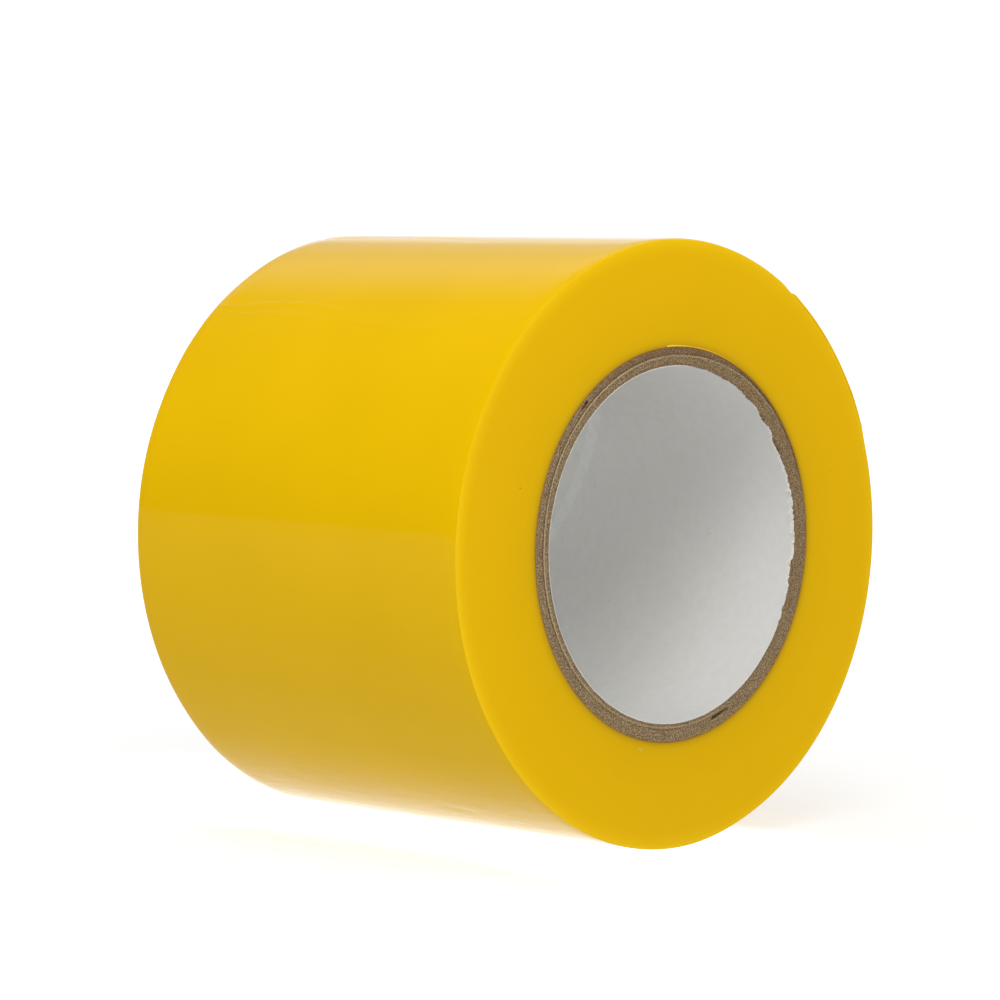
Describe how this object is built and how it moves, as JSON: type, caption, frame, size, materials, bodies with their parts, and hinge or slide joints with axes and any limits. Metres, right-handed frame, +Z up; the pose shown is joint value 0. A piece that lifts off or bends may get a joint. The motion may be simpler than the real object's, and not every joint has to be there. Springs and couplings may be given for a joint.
{
  "type": "masking tape roll",
  "caption": "Wide roll of glossy yellow plastic film masking tape wound on a spiral paperboard core, with a folded pull tab that lifts.",
  "frame": {"origin": "centre of the core's bore, half way along the roll", "axes": "+Y along the bore, from the front end to the back end; +Z up as the roll stands on its curved side, with the pull tab of the tape at the upper +X side"},
  "size_m": [0.1301, 0.1, 0.13],
  "materials": {
    "tape_film": "glossy calendered vinyl film, smooth slit ends",
    "core_board": "raw grey-brown recycled paperboard, cut edge with fibres",
    "liner_paper": "matt white paper"
  },
  "bodies": {
    "roll": {"core_liner": "liner_paper", "core_ply_1": "core_board", "core_ply_2": "core_board", "core_ply_3": "core_board", "core_ply_4": "core_board", "core_ply_5": "core_board", "core_ply_6": "core_board", "tape_coil": "tape_film"},
    "tab_1": {"tape_tab_1": "tape_film"},
    "tab_2": {"tape_tab_2": "tape_film"},
    "tab_3": {"tape_tab_3": "tape_film"},
    "tab_4": {"tape_tab_4": "tape_film"}
  },
  "joints": [
    {"name": "tab_peel", "type": "hinge", "parent": "roll", "child": "tab_1", "pos_m": [0.06073, 0, 0.02395], "axis": [0, 1, 0], "range_deg": [0, 35]},
    {"name": "tab_curl_2", "type": "hinge", "parent": "tab_1", "child": "tab_2", "pos_m": [0.05663, 0, 0.03249], "axis": [0, 1, 0], "range_deg": [0, 35]},
    {"name": "tab_curl_3", "type": "hinge", "parent": "tab_2", "child": "tab_3", "pos_m": [0.05132, 0, 0.04035], "axis": [0, 1, 0], "range_deg": [0, 35]},
    {"name": "tab_curl_4", "type": "hinge", "parent": "tab_3", "child": "tab_4", "pos_m": [0.04494, 0, 0.04736], "axis": [0, 1, 0], "range_deg": [0, 35]}
  ],
  "couplings": [
    {"joint": "tab_curl_2", "follows": "tab_peel", "ratio": 1},
    {"joint": "tab_curl_3", "follows": "tab_peel", "ratio": 1},
    {"joint": "tab_curl_4", "follows": "tab_peel", "ratio": 1}
  ]
}
